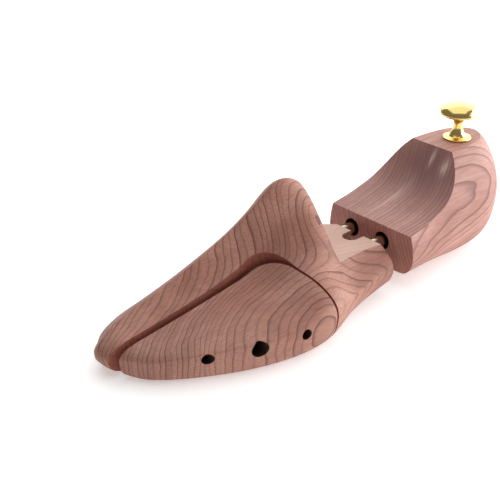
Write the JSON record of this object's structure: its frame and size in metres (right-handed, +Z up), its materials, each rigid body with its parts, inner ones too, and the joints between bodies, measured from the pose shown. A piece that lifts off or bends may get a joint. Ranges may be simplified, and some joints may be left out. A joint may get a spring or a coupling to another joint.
{
  "type": "shoe tree",
  "caption": "Split-toe wooden shoe tree with a sprung heel block on twin tubes and a turned pull knob, which holds a shoe in shape.",
  "frame": {"origin": "on the floor, midway between toe tip and heel back, on the line the two tubes are centred on", "axes": "toe towards -X, heel towards +X, lateral side with the wing towards -Y, medial side towards +Y, +Z up"},
  "size_m": [0.275, 0.0908, 0.0845],
  "materials": {
    "cedar": "fine sanded, oil free, with darker growth rings",
    "dowel_wood": "plain",
    "polished_brass": "polished and lacquered",
    "nickel_plate": "bright nickel plate",
    "plain_steel": "bright drawn",
    "spring_steel": "drawn wire",
    "nylon": "natural nylon"
  },
  "bodies": {
    "forepart": {"forepart_body": "cedar", "lateral_outer_tube": "nickel_plate", "lateral_tube_plug": "plain_steel", "lateral_tube_bush": "nylon", "lateral_tube_spring": "spring_steel", "medial_outer_tube": "nickel_plate", "medial_tube_plug": "plain_steel", "medial_tube_bush": "nylon", "medial_tube_spring": "spring_steel", "tube_lock_pins": "plain_steel", "front_guide_pin": "plain_steel", "rear_guide_pin": "plain_steel", "wing_spring": "spring_steel"},
    "heel": {"heel_block": "cedar", "knob": "polished_brass", "knob_stud": "plain_steel", "rod_lock_pins": "plain_steel", "lateral_inner_rod": "plain_steel", "lateral_rod_collar": "plain_steel", "medial_inner_rod": "plain_steel", "medial_rod_collar": "plain_steel"},
    "wing": {"side_wing": "cedar", "wing_spring_plug": "dowel_wood"}
  },
  "joints": [
    {"name": "heel_slide", "type": "slide", "parent": "forepart", "child": "heel", "axis": [-1, 0, 0], "range_m": [0, 0.01], "stiffness_N_per_m": 3000, "springref_m": -0.004, "deforming": ["lateral_tube_spring", "medial_tube_spring"]},
    {"name": "wing_slide", "type": "slide", "parent": "forepart", "child": "wing", "axis": [0, 1, 0], "range_m": [0, 0.0026], "stiffness_N_per_m": 2000, "springref_m": -0.003, "deforming": ["wing_spring"]}
  ]
}
